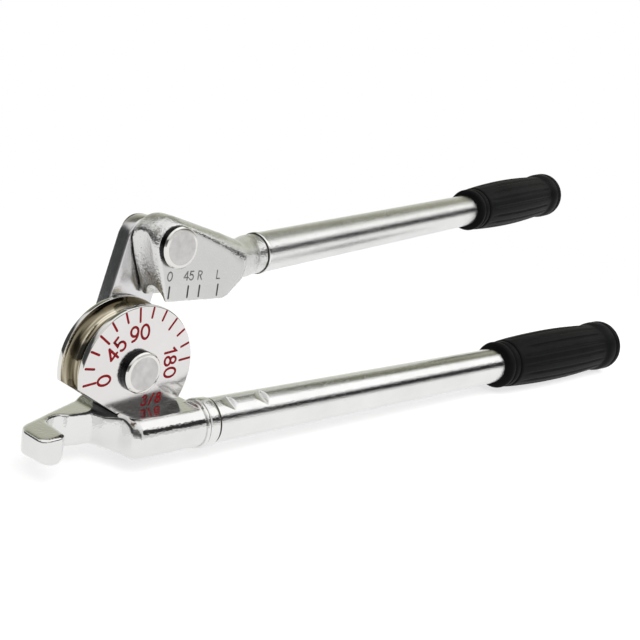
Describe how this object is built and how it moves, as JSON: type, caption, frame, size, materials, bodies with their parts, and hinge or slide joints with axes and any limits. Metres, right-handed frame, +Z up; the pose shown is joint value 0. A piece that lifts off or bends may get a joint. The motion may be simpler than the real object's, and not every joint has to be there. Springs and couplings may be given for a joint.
{
  "type": "lever tube bender",
  "caption": "Lever tube bender: a grooved former wheel with angle marks on a fixed handle, and a slide shoe on a second handle swung round the wheel by a link.",
  "frame": {"origin": "bend centre: the former wheel's axis at the middle of its groove", "axes": "+X along the fixed handle towards its grip, +Z up from the fixed handle to the moving handle, -Y out of the wheel's marked face"},
  "size_m": [0.387, 0.1057, 0.0927],
  "materials": {
    "chrome": "bright plated, lightly textured",
    "satin_steel": "bright plated with a satin face, red filled marks",
    "shoe_steel": "satin plated forging",
    "pin_steel": "fine turned",
    "steel": "plain",
    "dark_steel": "blackened",
    "link_steel": "satin plated plate",
    "bronze": "sintered",
    "grip": "ribbed black vinyl",
    "plug": "moulded"
  },
  "bodies": {
    "fixed_handle": {"lower_body": "chrome", "former_wheel": "satin_steel", "former_dowels": "steel", "former_screw": "dark_steel", "former_pin": "pin_steel", "former_thrust_washer": "steel", "former_back_washer": "steel", "former_ring": "dark_steel", "lower_tube": "chrome", "lower_ferrule": "chrome", "lower_grip": "grip", "lower_plug": "plug"},
    "link": {"link_bar": "link_steel", "link_bushes": "bronze"},
    "moving_handle": {"shoe_body": "shoe_steel", "shoe_pin": "pin_steel", "shoe_thrust_washer": "steel", "shoe_back_washer": "steel", "shoe_ring": "dark_steel", "upper_tube": "chrome", "upper_ferrule": "chrome", "upper_grip": "grip", "upper_plug": "plug"}
  },
  "joints": [
    {"name": "link_swing", "type": "hinge", "parent": "fixed_handle", "child": "link", "pos_m": [0, 0, 0], "axis": [0, -1, 0], "range_deg": [-70, 110]},
    {"name": "shoe_swing", "type": "hinge", "parent": "link", "child": "moving_handle", "pos_m": [0.01191, 0, 0.04194], "axis": [0, -1, 0], "range_deg": [-13, 100]}
  ]
}
